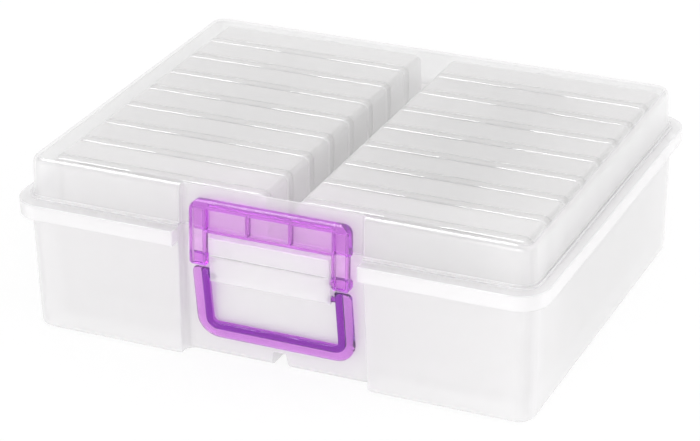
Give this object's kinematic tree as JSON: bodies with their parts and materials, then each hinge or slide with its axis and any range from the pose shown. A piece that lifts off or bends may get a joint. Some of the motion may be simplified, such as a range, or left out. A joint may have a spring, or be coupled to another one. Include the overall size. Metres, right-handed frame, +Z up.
{
  "type": "photo keeper case",
  "caption": "Clear carrying case with a hinged domed lid, a front latch and a bail handle, holding rows of clear photo cases.",
  "frame": {"origin": "middle of the footprint of the whole case, on the table", "axes": "+X to the case's right seen from the front, +Y to the back, +Z up"},
  "size_m": [0.38, 0.308, 0.127],
  "materials": {
    "clear_plastic": "natural translucent polypropylene, polished",
    "case_plastic": "clear styrene-like plastic, polished",
    "purple_plastic": "translucent dyed polypropylene, satin to gloss"
  },
  "bodies": {
    "tub": {"tub": "clear_plastic", "photo_case_left_1": "case_plastic", "photo_case_left_2": "case_plastic", "photo_case_left_3": "case_plastic", "photo_case_left_4": "case_plastic", "photo_case_left_5": "case_plastic", "photo_case_left_6": "case_plastic", "photo_case_left_7": "case_plastic", "photo_case_left_8": "case_plastic", "photo_case_right_1": "case_plastic", "photo_case_right_2": "case_plastic", "photo_case_right_3": "case_plastic", "photo_case_right_4": "case_plastic", "photo_case_right_5": "case_plastic", "photo_case_right_6": "case_plastic", "photo_case_right_7": "case_plastic", "photo_case_right_8": "case_plastic", "case_lid_left_1": "case_plastic", "case_lid_left_2": "case_plastic", "case_lid_left_3": "case_plastic", "case_lid_left_4": "case_plastic", "case_lid_left_5": "case_plastic", "case_lid_left_6": "case_plastic", "case_lid_left_7": "case_plastic", "case_lid_left_8": "case_plastic", "case_lid_right_1": "case_plastic", "case_lid_right_2": "case_plastic", "case_lid_right_3": "case_plastic", "case_lid_right_4": "case_plastic", "case_lid_right_5": "case_plastic", "case_lid_right_6": "case_plastic", "case_lid_right_7": "case_plastic", "case_lid_right_8": "case_plastic"},
    "lid": {"lid": "clear_plastic"},
    "latch": {"latch": "purple_plastic"},
    "handle": {"handle": "purple_plastic"}
  },
  "joints": [
    {"name": "lid_hinge", "type": "hinge", "parent": "tub", "child": "lid", "pos_m": [0, 0.1498, 0.092], "axis": [-1, 0, 0], "range_deg": [0, 105]},
    {"name": "latch_pivot", "type": "hinge", "parent": "tub", "child": "latch", "pos_m": [0, -0.1435, 0.077], "axis": [1, 0, 0], "range_deg": [0, 90]},
    {"name": "handle_pivot", "type": "hinge", "parent": "tub", "child": "handle", "pos_m": [0, -0.1424, 0.0646], "axis": [-1, 0, 0], "range_deg": [0, 90]}
  ]
}
